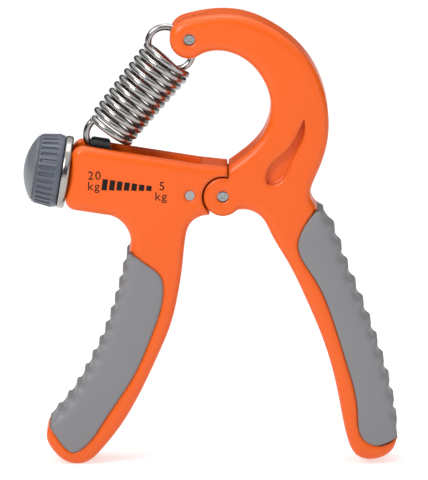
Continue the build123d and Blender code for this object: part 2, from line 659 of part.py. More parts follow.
if __name__ == "__main__":
    main()
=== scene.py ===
import json
import logging
import math
from collections.abc import Sequence
from dataclasses import dataclass
from enum import Enum

import bmesh
import bpy
import numpy as np
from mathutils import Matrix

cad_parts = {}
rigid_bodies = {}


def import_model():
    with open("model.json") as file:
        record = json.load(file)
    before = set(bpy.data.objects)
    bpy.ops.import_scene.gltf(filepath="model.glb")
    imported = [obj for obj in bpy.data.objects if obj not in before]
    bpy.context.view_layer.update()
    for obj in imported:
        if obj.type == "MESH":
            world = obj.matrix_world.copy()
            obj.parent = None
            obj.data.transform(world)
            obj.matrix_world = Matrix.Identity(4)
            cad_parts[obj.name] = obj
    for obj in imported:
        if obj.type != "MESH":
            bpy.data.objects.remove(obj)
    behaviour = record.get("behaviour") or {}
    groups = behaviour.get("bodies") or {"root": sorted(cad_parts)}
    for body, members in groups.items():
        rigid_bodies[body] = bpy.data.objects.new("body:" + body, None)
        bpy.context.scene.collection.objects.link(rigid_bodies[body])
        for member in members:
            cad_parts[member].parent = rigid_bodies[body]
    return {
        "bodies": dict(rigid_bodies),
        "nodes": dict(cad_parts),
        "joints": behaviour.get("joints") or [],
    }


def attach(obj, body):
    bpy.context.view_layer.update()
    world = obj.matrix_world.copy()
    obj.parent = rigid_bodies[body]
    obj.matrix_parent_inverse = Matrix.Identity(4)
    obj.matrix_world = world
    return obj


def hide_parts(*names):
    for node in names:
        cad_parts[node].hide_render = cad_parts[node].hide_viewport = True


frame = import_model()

Array = np.ndarray
Points = Sequence[tuple[float, float]]
log = logging.getLogger("hand_gripper")

MM = 0.001
FULL_TURN = 2.0 * math.pi
MERGE_DISTANCE = 1e-3 * MM
ARC_STEPS = 6
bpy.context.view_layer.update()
JOINTS = {joint["name"]: joint for joint in frame["joints"]}
PIVOT = np.array(JOINTS["squeeze"]["pos_m"]) / MM
SCREW_TIP = np.array(JOINTS["knob_turn"]["pos_m"]) / MM
SCREW_AXIS = np.array(JOINTS["knob_turn"]["axis"])
SLIDER_PIN = np.array(JOINTS["spring_swing"]["pos_m"]) / MM
SPRING_AXIS = np.array(JOINTS["spring_stretch"]["axis"])
WIDTH_AXIS = np.array([0.0, 1.0, 0.0])


# ---------------------------------------------------------------- shapes from arrays
def unit(vectors: Array) -> Array:
    """Vectors scaled to length one along their last axis."""
    return vectors / np.linalg.norm(vectors, axis=-1, keepdims=True)


def smoothstep(low: float, high: float, value: Array) -> Array:
    """Eased rise from 0 to 1: three times the square less twice the cube of the clamped share.

    Args:
        low: Value where the rise starts.
        high: Value where it ends.
        value: Values to ease.

    Returns:
        Shares from 0 to 1, in the shape of value.
    """
    share = np.clip((value - low) / (high - low), 0.0, 1.0)
    return share * share * (3.0 - 2.0 * share)


def spline_through(points: Points | Array, count: int) -> Array:
    """Natural cubic spline through the points, sampled at even steps of its length.

    The bends at the points solve the usual three-term system, and each stretch is the straight
    line between its ends plus the cubed shares of the two bends.

    Args:
        points: Places that the curve passes through.
        count: How many samples to return.

    Returns:
        Array of count places.
    """
    knots = np.asarray(points, dtype=float)
    chord = np.r_[0.0, np.cumsum(np.linalg.norm(np.diff(knots, axis=0), axis=1))]
    step = np.diff(chord)
    size = len(knots)
    inner = np.arange(1, size - 1)
    system = np.eye(size)
    system[inner, inner - 1] = step[:-1]
    system[inner, inner] = 2.0 * (step[:-1] + step[1:])
    system[inner, inner + 1] = step[1:]
    slope = np.diff(knots, axis=0) / step[:, None]
    right = np.zeros_like(knots)
    right[1:-1] = 6.0 * np.diff(slope, axis=0)
    bend = np.linalg.solve(system, right)

    def at(place: Array) -> Array:
        """Places on the curve.

        Args:
            place: Distances along the chords between the points.

        Returns:
            One place for each distance.
        """
        index = np.clip(np.searchsorted(chord, place, side="right") - 1, 0, size - 2)
        after = ((place - chord[index]) / step[index])[:, None]
        before = 1.0 - after
        cubic = (before ** 3 - before) * bend[index] + (after ** 3 - after) * bend[index + 1]
        return before * knots[index] + after * knots[index + 1] + cubic * step[index, None] ** 2 / 6

    fine = np.linspace(0.0, chord[-1], 24 * count)
    run = np.linalg.norm(np.diff(at(fine), axis=0), axis=1)
    length = np.r_[0.0, np.cumsum(run)]
    return at(np.interp(np.linspace(0.0, length[-1], count), length, fine))


def solid_from_grid(
    name: str, grid: Array, wrap_rows: bool = False, wrap_columns: bool = True,
    caps: bool = False, sharp_deg: float = 60.0,
) -> bpy.types.Object:
    """Closed smooth-shaded mesh of the quads between neighbours in a grid of places.

    Args:
        name: Object name.
        grid: Rows by columns by 3 places in millimetres, in the row frame.
        wrap_rows: Join the last row to the first.
        wrap_columns: Join the last column to the first.
        caps: Close the first and last rows with a face each.
        sharp_deg: Edges that turn by more than this stay sharp.

    Returns:
        The new object, linked into the scene, at the origin.
    """
    rows, columns, _ = grid.shape
    row, column = np.meshgrid(
        np.arange(rows if wrap_rows else rows - 1),
        np.arange(columns if wrap_columns else columns - 1), indexing="ij",
    )
    next_row = (row + 1) % rows
    next_column = (column + 1) % columns
    quads = np.stack([
        row * columns + column, next_row * columns + column,
        next_row * columns + next_column, row * columns + next_column,
    ], axis=-1).reshape(-1, 4).tolist()
    if caps:
        quads.append(list(range(columns)))
        quads.append(list(range((rows - 1) * columns, rows * columns)))
    mesh = bpy.data.meshes.new(name)
    mesh.from_pydata((grid.reshape(-1, 3) * MM).tolist(), [], quads)
    merge_and_face_outward(mesh)
    mesh.polygons.foreach_set("use_smooth", np.ones(len(mesh.polygons), dtype=bool))
    mesh.set_sharp_from_angle(angle=math.radians(sharp_deg))
    piece = bpy.data.objects.new(name, mesh)
    bpy.context.scene.collection.objects.link(piece)
    return piece


def merge_and_face_outward(mesh: bpy.types.Mesh) -> None:
    """Merges seam and pole doubles, then turns every face outward.

    Args:
        mesh: Closed mesh to mend in place.
    """
    work = bmesh.new()
    work.from_mesh(mesh)
    bmesh.ops.remove_doubles(work, verts=work.verts, dist=MERGE_DISTANCE)
    bmesh.ops.recalc_face_normals(work, faces=work.faces)
    work.to_mesh(mesh)
    work.free()


def turned_grid(profile: Array, steps: int) -> Array:
    """Profile of (radius, station) pairs turned about the lead screw's axis.

    Each place is the axis at its station plus the radius times a unit spoke.

    Args:
        profile: Rows of radius and station in millimetres.
        steps: Places round the axis.

    Returns:
        Grid of steps by profile places.
    """
    spokes = screw_spokes(np.linspace(0.0, FULL_TURN, steps, endpoint=False))
    along = SCREW_TIP + profile[None, :, 1, None] * SCREW_AXIS
    return along + profile[None, :, 0, None] * spokes[:, None, :]


def screw_spokes(angles: Array) -> Array:
    """Unit spokes square to the lead screw's axis, at angles from the width axis."""
    up = np.cross(SCREW_AXIS, WIDTH_AXIS)
    return np.cos(angles)[..., None] * WIDTH_AXIS + np.sin(angles)[..., None] * up


def rounded_profile(
    corners: Sequence[tuple[float, float, float]], steps: int = ARC_STEPS,
) -> Array:
    """Closed polygon whose corners are rounded by arcs.

    At each corner the arc is the quadratic blend between two points on its sides, a radius away.

    Args:
        corners: Radius, station and rounding of each corner, in millimetres.
        steps: Places in each arc.

    Returns:
        Rows of radius and station.
    """
    table = np.asarray(corners, dtype=float)
    corner = table[:, :2]
    back = unit(np.roll(corner, 1, axis=0) - corner) * table[:, 2:]
    ahead = unit(np.roll(corner, -1, axis=0) - corner) * table[:, 2:]
    share = np.linspace(0.0, 1.0, steps)[None, :, None]
    blend = (1 - share) ** 2 * back[:, None] + share ** 2 * ahead[:, None]
    return (corner[:, None] + blend).reshape(-1, 2)


def hermite(start: Array, leave: Array, end: Array, arrive: Array, count: int) -> Array:
    """Cubic from start to end that leaves and arrives along the given pulls.

    The places are the four usual cubic blends of the two ends and the two pulls.

    Args:
        start: Place that the curve leaves.
        leave: Direction and strength of leaving.
        end: Place that it reaches.
        arrive: Direction and strength of arriving.
        count: How many places, without the two ends.

    Returns:
        Array of count places.
    """
    share = np.linspace(0.0, 1.0, count + 2)[1:-1, None]
    squared, cubed = share ** 2, share ** 3
    places = (2 * cubed - 3 * squared + 1) * start + (3 * squared - 2 * cubed) * end
    return places + (cubed - 2 * squared + share) * leave + (cubed - squared) * arrive


# ---------------------------------------------------------------- finishes
def linear(hex_colour: str) -> tuple[float, float, float, float]:
    """Linear RGBA of an sRGB hex colour.

    Args:
        hex_colour: Colour such as #c0c0c0.

    Returns:
        Red, green, blue and full opacity.
    """
    parts = np.array([int(hex_colour[index:index + 2], 16) for index in (1, 3, 5)]) / 255.0
    low = parts / 12.92
    high = ((parts + 0.055) / 1.055) ** 2.4
    return (*np.where(parts <= 0.04045, low, high).tolist(), 1.0)


def add_node(
    tree: bpy.types.NodeTree, kind: str, inputs: dict[str | int, object] | None = None,
    **settings: object,
) -> bpy.types.Node:
    """Adds a shader node with its settings, input values and links.

    Args:
        tree: Node tree to add to.
        kind: Node type, such as ShaderNodeTexNoise.
        inputs: Input name or number to a value, or to the socket that feeds it.
        settings: Node properties.

    Returns:
        The new node.
    """
    node = tree.nodes.new(kind)
    for name, value in settings.items():
        setattr(node, name, value)
    for name, value in (inputs or {}).items():
        if isinstance(value, bpy.types.NodeSocket):
            tree.links.new(value, node.inputs[name])
        else:
            node.inputs[name].default_value = value
    return node


@dataclass(frozen=True)
class Finish:
    """A surface finish: two close colours that drift, a roughness that drifts, and a fine grain.

    Grain, drift and edge sizes are in millimetres. The edge size is how far the light rounds a
    moulded edge. A metal keeps the default index of refraction.
    """

    name: str
    colour: str
    drift_colour: str
    roughness: float
    roughness_drift: float = 0.04
    metallic: float = 0.0
    ior: float | None = None
    grain_mm: float = 0.4
    grain_height_mm: float = 0.01
    grain_strength: float = 0.35
    drift_mm: float = 18.0
    anisotropic: float = 0.0
    edge_mm: float = 0.0

    def material(self) -> bpy.types.Material:
        """Builds the node material.

        Returns:
            A material on Object coordinates.
        """
        material = bpy.data.materials.new(self.name)
        material.use_nodes = True
        tree = material.node_tree
        tree.nodes.clear()
        place = add_node(tree, "ShaderNodeTexCoord").outputs["Object"]
        drift = add_node(tree, "ShaderNodeTexNoise", {
            "Vector": place, "Scale": 1.0 / (self.drift_mm * MM), "Detail": 3.0,
        }).outputs["Fac"]
        grain = add_node(tree, "ShaderNodeTexNoise", {
            "Vector": place, "Scale": 1.0 / (self.grain_mm * MM), "Detail": 2.0,
        }).outputs["Fac"]
        colour = add_node(tree, "ShaderNodeMix", {
            0: drift, 6: linear(self.colour), 7: linear(self.drift_colour),
        }, data_type="RGBA").outputs[2]
        roughness = add_node(tree, "ShaderNodeMapRange", {
            "Value": drift, "To Min": self.roughness - self.roughness_drift,
            "To Max": self.roughness + self.roughness_drift,
        }).outputs["Result"]
        surface = {
            "Height": grain, "Strength": self.grain_strength,
            "Distance": self.grain_height_mm * MM,
        }
        if self.edge_mm:
            surface["Normal"] = add_node(
                tree, "ShaderNodeBevel", {"Radius": self.edge_mm * MM}, samples=8,
            ).outputs["Normal"]
        bump = add_node(tree, "ShaderNodeBump", surface).outputs["Normal"]
        shader = add_node(tree, "ShaderNodeBsdfPrincipled", {
            "Base Color": colour, "Roughness": roughness, "Metallic": self.metallic,
            "Normal": bump, "Anisotropic": self.anisotropic,
        })
        if self.ior is not None:
            shader.inputs["IOR"].default_value = self.ior
        add_node(tree, "ShaderNodeOutputMaterial", {"Surface": shader.outputs["BSDF"]})
        return material


class Finishes(Enum):
    """Every finish on the gripper, by what the real surface is."""

    # Injection-moulded ABS: an even, saturated orange with a soft satin gloss.
    ORANGE_ABS = Finish(
        "moulded_orange_abs", "#e25a08", "#de5806", 0.34, ior=1.45, grain_mm=0.35,
        grain_height_mm=0.006, edge_mm=2.4,
    )
    # Thermoplastic rubber overmoulding: grey, matt, with a broad soft highlight.
    GREY_TPR = Finish(
        "moulded_grey_tpr", "#7b7a7c", "#77767a", 0.5, roughness_drift=0.05, ior=1.5,
        grain_mm=0.3, grain_height_mm=0.012, edge_mm=1.6,
    )
    # Moulded polypropylene knob: blue-grey with a satin sheen.
    GREY_POLYPROPYLENE = Finish(
        "moulded_blue_grey_polypropylene", "#525762", "#4e535d", 0.4, ior=1.49, grain_mm=0.3,
        grain_height_mm=0.008,
    )
    # The cap is a separate moulding of the same plastic, in a grey a little lighter than the knob's,
    # and glossier.
    CAP_POLYPROPYLENE = Finish(
        "moulded_cap_polypropylene", "#666a70", "#62666c", 0.34, ior=1.49, grain_mm=0.3,
        grain_height_mm=0.006,
    )
    # Bright nickel over drawn spring wire: near mirror, with dark and white bands.
    NICKEL_WIRE = Finish(
        "nickel_plated_spring_wire", "#aeacaa", "#939190", 0.2, 0.02, metallic=1.0,
        grain_mm=0.25, grain_height_mm=0.0008, drift_mm=6.0,
    )
    # Turned and chromed collar: broad soft reflections.
    CHROMED_COLLAR = Finish(
        "turned_chromed_collar", "#a5a19d", "#9c9894", 0.24, 0.04, metallic=1.0, grain_mm=0.2,
        grain_height_mm=0.004, anisotropic=0.4,
    )
    # Zinc-plated screws and pins: bright with a slight haze.
    ZINC_STEEL = Finish(
        "zinc_plated_steel", "#aaadae", "#9da1a3", 0.24, 0.05, metallic=1.0, grain_mm=0.15,
        grain_height_mm=0.004,
    )
    # Blackened steel slider: dark grey with a dull gleam.
    BLACKENED_STEEL = Finish(
        "blackened_steel", "#4a4c4d", "#3c3e3f", 0.36, 0.06, metallic=0.9, grain_mm=0.2,
        grain_height_mm=0.006,
    )
    # Sintered bronze bushes: warm brown metal.
    BRONZE_BUSH = Finish(
        "sintered_bronze", "#b08a4e", "#a27c42", 0.4, 0.06, metallic=1.0, grain_mm=0.12,
        grain_height_mm=0.01,
    )
    # Natural nylon washers: off-white and waxy.
    NYLON = Finish("natural_nylon", "#dedbd0", "#d8d5ca", 0.45, ior=1.53)
    # Pad-printed scale: matt brown-black ink.
    SCALE_INK = Finish(
        "pad_print_ink", "#120502", "#160804", 0.7, 0.05, ior=1.35, grain_mm=0.1,
        grain_height_mm=0.002, drift_mm=2.0,
    )

    def material(self) -> bpy.types.Material:
        """The finish's one material, made on first use."""
        known = bpy.data.materials.get(self.value.name)
        return known or self.value.material()


def dress(piece: bpy.types.Object, finish: Finishes) -> None:
    """Gives the whole of a piece one finish."""
    piece.data.materials.clear()
    piece.data.materials.append(finish.material())


# ---------------------------------------------------------------- grip sleeves
@dataclass
class GripSleeve:
    """Ribbed rubber sleeve wrapped over the front, outer side and back of a handle.

    The outlines are millimetres from the pivot, in the middle plane: edge is the curved border
    on the faces, outer the ribbed side, both from the top of the handle to its bottom.
    """

    node: str
    body: str
    edge: Points
    outer: Points
    half_width: float
    rib_count: int = 12
    first_rib: float = 0.02
    rib_height: float = 1.05
    rib_sharpness: float = 2.0
    rib_inset: float = 2.1
    corner_radius: float = 3.4
    lip_radius: float = 0.8
    crown: float = 0.35
    wall: float = 1.8
    rib_fade: float = 0.03
    stations: int = 300
    corner_steps: int = 9
    face_steps: int = 20
    side_steps: int = 10
    material_slot: str = "grey_rubber"

    def section(self) -> tuple[Array, Array]:
        """Closed section round the sleeve, as shares of four sizes at each place.

        Returns:
            Shares of (span, corner radius, lip radius, wall), which add up to how far in from
            the ribbed side a place lies, and shares of (half width, corner radius, lip radius,
            wall), which add up to how far it lies from the middle plane.
        """
        quarter = np.linspace(0.0, math.pi / 2, self.corner_steps)
        face = np.linspace(0.0, 1.0, self.face_steps + 2)[1:-1]
        side = np.linspace(-1.0, 1.0, self.side_steps + 2)[1:-1]
        zero, level, flat = 0.0 * quarter, 0.0 * face, 0.0 * side

        # the lip rolls off the border, the face runs out to the corner, the corner turns back
        lip = np.stack([zero + 1, zero, np.cos(quarter) - 1, zero], 1)
        lip_side = np.stack([zero - 1, zero, 1 - np.sin(quarter), zero], 1)
        cheek = np.stack([1 - face, face, face - 1, level], 1)
        cheek_side = np.stack([level - 1, level, level, level], 1)
        corner = np.stack([zero, 1 - np.sin(quarter), zero, zero], 1)
        corner_side = np.stack([zero - 1, 1 - np.cos(quarter), zero, zero], 1)
        near = np.concatenate([lip, cheek, corner])
        near_side = np.concatenate([lip_side, cheek_side, corner_side])

        # the flank joins the two faces, and four corners close the section inside
        flank = np.stack([flat, flat, flat, flat], 1)
        flank_side = np.stack([side, -side, flat, flat], 1)
        inner = np.array([(1, 0, 0, 0), (0, 0, 0, 1), (0, 0, 0, 1), (1, 0, 0, 0)])
        inner_side = np.array([(1, 0, 0, -1), (1, 0, 0, -1), (-1, 0, 0, 1), (-1, 0, 0, 1)])
        inward = np.concatenate([near, flank, near[::-1], inner])
        sideways = np.concatenate([near_side, flank_side, -near_side[::-1], inner_side])
        return inward, sideways

    def grid(self) -> Array:
        """Section carried from the border to the ribbed side at every station down the handle.

        Each place lies on the straight line from the outer curve to the border, as far in as the
        section says, pushed out by the ribs: a raised cosine to a power along the handle, eased
        to nothing on the faces.

        Returns:
            Grid of stations by section places.
        """
        edge = spline_through(self.edge, self.stations)
        outer = spline_through(self.outer, self.stations)
        across = edge - outer
        span = np.linalg.norm(across, axis=1)
        way = across / np.maximum(span, 1e-6)[:, None]
        way[0], way[-1] = way[1], way[-2]
        share = np.minimum(1.0, span / (2.5 * self.corner_radius))
        sizes = np.stack([
            span, self.corner_radius * share, self.lip_radius * share, self.wall * share,
        ], 1)
        inward, sideways = self.section()
        depth_in = sizes @ inward.T
        fixed = np.stack([
            np.full_like(span, self.half_width), sizes[:, 1], sizes[:, 2], sizes[:, 3],
        ], 1)
        depth = fixed @ sideways.T

        inner_corners = 4
        outside = np.arange(depth_in.shape[1]) < depth_in.shape[1] - inner_corners
        bulge = np.sin(math.pi * np.clip(depth_in / np.maximum(span, 1e-6)[:, None], 0, 1))
        on_face = smoothstep(0.6, 1.0, np.abs(depth) / self.half_width)
        depth = depth + np.sign(depth) * self.crown * bulge * on_face * outside * share[:, None]

        down = np.linspace(0.0, 1.0, self.stations)
        wave = 0.5 + 0.5 * np.cos(FULL_TURN * self.rib_count * (down - self.first_rib))
        ends = smoothstep(0.0, self.rib_fade, down) * smoothstep(1.0, 1.0 - self.rib_fade, down)
        rib = wave ** self.rib_sharpness * ends
        reach = 1.0 - smoothstep(0.5 * self.rib_inset, 1.15 * self.rib_inset, depth_in)
        push = self.rib_height * rib[:, None] * reach * outside

        flat = outer[:, None, :] + way[:, None, :] * (depth_in - push)[..., None]
        return PIVOT + np.stack([flat[..., 0], depth, flat[..., 1]], axis=-1)

    def build(self) -> bpy.types.Object:
        """Makes the sleeve, dresses it and puts it in place of the plain one.

        Returns:
            The ribbed sleeve.
        """
        piece = solid_from_grid(f"{self.node}_ribbed", self.grid(), sharp_deg=75.0)
        dress(piece, Finishes.GREY_TPR)
        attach(piece, self.body)
        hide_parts(self.node)
        return piece


# ---------------------------------------------------------------- tension spring
@dataclass
class TensionSpring:
    """One length of nickel-plated wire: a loop round the slider's pin, a coil and a hook's loop.

    Places are (along the spring, to its upper left, back) from the slider pin, in millimetres.
    """

    wire_radius: float = 1.13
    coil_radius: float = 7.8
    coil_flare: float = 0.5
    coil_offset: float = 0.5
    pitch: float = 2.7
    coil_start: float = 5.5
    first_turn: float = 0.12
    last_turn: float = 11.42
    lower_centre: tuple[float, float] = (3.4, 1.0)
    lower_radii: tuple[float, float] = (5.9, 5.9)
    lower_arc_deg: tuple[float, float] = (246.0, 84.0)
    upper_centre: tuple[float, float] = (39.5, 2.3)
    upper_radii: tuple[float, float] = (6.3, 7.9)
    upper_arc_deg: tuple[float, float] = (122.0, -142.0)
    rise_pull: float = 8.0
    cross_pulls: tuple[float, float] = (12.0, 17.0)
    end_taper: float = 0.7
    loop_steps: int = 80
    rise_steps: int = 24
    cross_steps: int = 48
    steps_per_turn: int = 64
    round_steps: int = 20

    def loop(
        self, centre: tuple[float, float], radii: tuple[float, float], arc: tuple[float, float],
    ) -> Array:
        """Places on an end loop: its centre plus its radii times the angle's cosine and sine.

        Args:
            centre: Middle of the loop, along the spring and to its upper left.
            radii: Half sizes of the loop along the spring and across it.
            arc: First and last angle in degrees.

        Returns:
            Places in the middle plane.
        """
        angle = np.radians(np.linspace(*arc, self.loop_steps))
        along = centre[0] + radii[0] * np.cos(angle)
        return np.stack([along, centre[1] + radii[1] * np.sin(angle), 0.0 * angle], axis=-1)

    def coil(self) -> Array:
        """Helix that crosses the front from the upper left to the right, a turn each pitch.

        The radius widens evenly by the flare, from its least at the bottom to its most at the top.

        Returns:
            Places on the helix.
        """
        count = round((self.last_turn - self.first_turn) * self.steps_per_turn)
        turn = np.linspace(self.first_turn, self.last_turn, count)
        angle = FULL_TURN * turn
        radius = self.coil_radius + self.coil_flare * (2 * turn / self.last_turn - 1)
        return np.stack([
            self.coil_start + self.pitch * turn, self.coil_offset + radius * np.cos(angle),
            -radius * np.sin(angle),
        ], axis=-1)

    def centre_line(self) -> tuple[Array, Array, Array]:
        """The wire's middle line from end to end.

        Returns:
            Places, how far each counts as loop (1) or coil (0), and how far it follows the
            spring's upper end.
        """
        lower = self.loop(self.lower_centre, self.lower_radii, self.lower_arc_deg)
        upper = self.loop(self.upper_centre, self.upper_radii, self.upper_arc_deg)
        coil = self.coil()
        joins = ((lower, -1), (coil, 1), (coil, -1), (upper, 1))
        ends = [unit(run[index] - run[index - 1]) for run, index in joins]
        pulls = (self.rise_pull, self.rise_pull, *self.cross_pulls)
        leave_loop, reach_coil, leave_coil, reach_loop = (
            way * pull for way, pull in zip(ends, pulls)
        )
        rise = hermite(lower[-1], leave_loop, coil[0], reach_coil, self.rise_steps)
        cross = hermite(coil[-1], leave_coil, upper[0], reach_loop, self.cross_steps)
        places = np.concatenate([lower, rise, coil, cross, upper])
        counts = [len(run) for run in (lower, rise, coil, cross, upper)]
        looped = np.concatenate([
            np.ones(counts[0]), np.linspace(1, 0, counts[1]), np.zeros(counts[2]),
            np.linspace(0, 1, counts[3]), np.ones(counts[4]),
        ])
        follows = np.concatenate([
            np.zeros(counts[0] + counts[1]), np.linspace(0, 1, counts[2]),
            np.ones(counts[3] + counts[4]),
        ])
        return places, looped, follows

    def grid(self) -> tuple[Array, Array]:
        """Circle of the wire's radius carried along the middle line, square to its way.

        Returns:
            Grid of places and, for each row, how far it follows the upper end.
        """
        places, looped, follows = self.centre_line()
        way = unit(np.gradient(places, axis=0))
        back, along = np.eye(3)[2], np.eye(3)[0]
        guide = looped[:, None] * back + (1 - looped)[:, None] * along
        across = unit(guide - np.sum(guide * way, axis=1, keepdims=True) * way)
        over = np.cross(way, across)
        angle = np.linspace(0, FULL_TURN, self.round_steps, endpoint=False)
        taper = np.ones(len(places))
        taper[[0, -1]] = self.end_taper
        cosine, sine = np.cos(angle)[None, :, None], np.sin(angle)[None, :, None]
        ring = cosine * across[:, None] + sine * over[:, None]
        local = places[:, None] + self.wire_radius * taper[:, None, None] * ring
        left = np.array([-SPRING_AXIS[2], 0.0, SPRING_AXIS[0]])
        basis = np.stack([SPRING_AXIS, left, WIDTH_AXIS])
        return SLIDER_PIN + local @ basis, follows

    def build(self) -> bpy.types.Object:
        """Makes the wire, ties its upper end to the hook's end and replaces the plain lengths.

        The lower loop rides the lower length, the upper loop follows the upper one, and the coil
        between them is shared out evenly, so that it stretches as one wire.

        Returns:
            The whole spring.
        """
        grid, follows = self.grid()
        piece = solid_from_grid("tension_spring_wire", grid, caps=True)
        dress(piece, Finishes.NICKEL_WIRE)
        group = piece.vertex_groups.new(name="upper_end")
        weights = np.repeat(follows, self.round_steps)
        for weight in np.unique(weights):
            members = np.flatnonzero(weights == weight).tolist()
            group.add(members, float(weight), "REPLACE")
        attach(piece, "spring_lower")
        upper = frame["bodies"]["spring_upper"]
        stretch = piece.modifiers.new("stretch", "HOOK")
        stretch.object = upper
        stretch.vertex_group = group.name
        stretch.matrix_inverse = upper.matrix_world.inverted() @ piece.matrix_world
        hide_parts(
            "spring_lower", "spring_coil_low", "spring_coil_high", "spring_upper",
        )
        return piece


# ---------------------------------------------------------------- knob, cap and lead screw
@dataclass
class AdjustingKnob:
    """Fluted knob and its domed cap. Stations are millimetres from the cross pin."""

    start: float = 43.15
    length: float = 8.2
    back_radius: float = 12.45
    front_radius: float = 11.35
    rear_rim: float = 1.7
    front_rim: float = 0.8
    back_rounding: float = 0.7
    front_rounding: float = 0.45
    bore_rounding: float = 0.2
    flutes: int = 32
    flute_depth: float = 0.62
    pocket_radius: float = 7.0
    pocket_depth: float = 5.2
    bore_radius: float = 2.52
    flute_run_out: tuple[float, float] = (0.7, 0.6)
    flute_shoulders: tuple[float, float] = (-0.25, 0.45)
    side_stations: int = 26
    cap_rise: float = 4.0
    cap_shoulder: float = 0.5
    cap_inset: float = 0.75
    cap_spigot: float = 1.0
    spigot_gap: float = 0.05
    cap_steps: int = 128
    steps: int = 768

    def knob_grid(self) -> Array:
        """Turned profile with the flutes taken off between the two rims.

        A flute's depth is a flattened cosine round the knob, eased in and out at the rims.

        Returns:
            Grid round the axis by profile places.
        """
        end = self.start + self.length
        floor = end - self.pocket_depth
        first, last = self.start + self.rear_rim, end - self.front_rim
        stations = np.linspace(first, last, self.side_stations)
        share = (stations - self.start) / self.length
        radii = self.back_radius + (self.front_radius - self.back_radius) * share
        body = np.stack([radii, stations], axis=1)
        back = rounded_profile([
            (self.bore_radius, floor, 0.0), (self.bore_radius, self.start, self.bore_rounding),
            (self.back_radius, self.start, self.back_rounding),
        ])
        front = rounded_profile([
            (self.front_radius, end, self.front_rounding),
            (self.pocket_radius, end, self.bore_rounding),
            (self.pocket_radius, floor, 0.0),
        ])
        bore_floor, back_corners = back[:1], back[ARC_STEPS:]
        profile = np.concatenate([bore_floor, back_corners, body, front])
        grid = turned_grid(profile, self.steps)
        angle = np.linspace(0.0, FULL_TURN, self.steps, endpoint=False)
        wave = smoothstep(*self.flute_shoulders, np.cos(self.flutes * angle))
        middle = smoothstep(first, first + self.flute_run_out[0], profile[:, 1])
        middle = middle * smoothstep(last, last - self.flute_run_out[1], profile[:, 1])
        outside = profile[:, 0] > self.front_radius - 2 * self.flute_depth
        cut = self.flute_depth * wave[:, None] * (middle * outside)[None, :]
        return grid - cut[..., None] * screw_spokes(angle)[:, None, :]

    def cap_grid(self) -> Array:
        """Domed cap: a spherical crown over a short straight rim, closed underneath.

        The ball's radius is the rim squared plus the rise squared, over twice the rise.

        Returns:
            Grid round the axis by profile places.
        """
        end = self.start + self.length
        rim = self.front_radius - self.cap_inset
        rise = self.cap_rise - self.cap_shoulder
        ball = (rim ** 2 + rise ** 2) / (2 * rise)
        slope = np.linspace(0.0, math.asin(rim / ball), 28)
        middle = end + self.cap_rise - ball
        crown = np.stack([ball * np.sin(slope), middle + ball * np.cos(slope)], 1)
        rest = np.array([
            [rim + 0.04, end + 0.38], [rim + 0.04, end + 0.1], [rim - 0.1, end - 0.02],
            [self.pocket_radius - self.spigot_gap, end],
            [self.pocket_radius - self.spigot_gap, end - self.cap_spigot],
            [0.0, end - self.cap_spigot],
        ])
        return turned_grid(np.concatenate([crown, rest]), self.cap_steps)

    def build(self) -> list[bpy.types.Object]:
        """Makes the knob and its cap in place of the plain ones.

        Returns:
            The knob and the cap.
        """
        knob = solid_from_grid("fluted_knob", self.knob_grid(), wrap_rows=True, sharp_deg=50.0)
        cap = solid_from_grid(
            "domed_knob_cap", self.cap_grid(), wrap_rows=True, wrap_columns=False, sharp_deg=50.0,
        )
        for piece, node, finish, slot in (
            (knob, "adjusting_knob", Finishes.GREY_POLYPROPYLENE, "knob_plastic"),
            (cap, "knob_cap", Finishes.CAP_POLYPROPYLENE, "cap_plastic"),
        ):
            dress(piece, finish)
            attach(piece, "adjuster")
            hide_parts(node)
        return [knob, cap]


@dataclass
class LeadScrew:
    """Threaded rod with plain ends, about the lead screw's axis."""

    thread_radius: float = 2.99
    thread_depth: float = 0.32
    pitch: float = 1.0
    thread_start: float = 6.0
    thread_end: float = 36.4
    tip_start: float = 1.7
    tip_radius: float = 1.97
    shoulder_gaps: tuple[float, float] = (0.2, 0.1)
    journal_radius: float = 2.5
    journal_end: float = 50.15
    chamfer: float = 0.3
    places_per_pitch: int = 10
    steps: int = 36

    def grid(self) -> Array:
        """Turned rod whose radius falls by a cosine of the station less the turn, once a pitch.

        Returns:
            Grid round the axis by profile places.
        """
        thread = np.arange(self.thread_start, self.thread_end, self.pitch / self.places_per_pitch)
        radius = np.full_like(thread, self.thread_radius)
        profile = np.concatenate([
            [[0.0, self.tip_start], [self.tip_radius - self.chamfer, self.tip_start],
             [self.tip_radius, self.tip_start + self.chamfer],
             [self.tip_radius, self.thread_start - self.shoulder_gaps[0]]],
            np.stack([radius, thread], axis=1),
            [[self.journal_radius, self.thread_end + self.shoulder_gaps[1]],
             [self.journal_radius, self.journal_end - self.chamfer],
             [self.journal_radius - self.chamfer, self.journal_end], [0.0, self.journal_end]],
        ])
        grid = turned_grid(profile, self.steps)
        angle = np.linspace(0.0, FULL_TURN, self.steps, endpoint=False)
        station = profile[None, :, 1] / self.pitch
        groove = 0.5 - 0.5 * np.cos(FULL_TURN * station - angle[:, None])
        threaded = (profile[:, 0] == self.thread_radius)[None, :]
        run_out = smoothstep(self.thread_start, self.thread_start + 1, profile[:, 1])
        run_out = run_out * smoothstep(self.thread_end, self.thread_end - 1, profile[:, 1])
        cut = self.thread_depth * groove * threaded * run_out[None, :]
        return grid - cut[..., None] * screw_spokes(angle)[:, None, :]

    def build(self) -> bpy.types.Object:
        """Makes the threaded rod in place of the plain one.

        Returns:
            The lead screw.
        """
        piece = solid_from_grid(
            "threaded_lead_screw", self.grid(), wrap_rows=True, wrap_columns=False,
        )
        dress(piece, Finishes.ZINC_STEEL)
        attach(piece, "adjuster")
        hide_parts("lead_screw")
        return piece


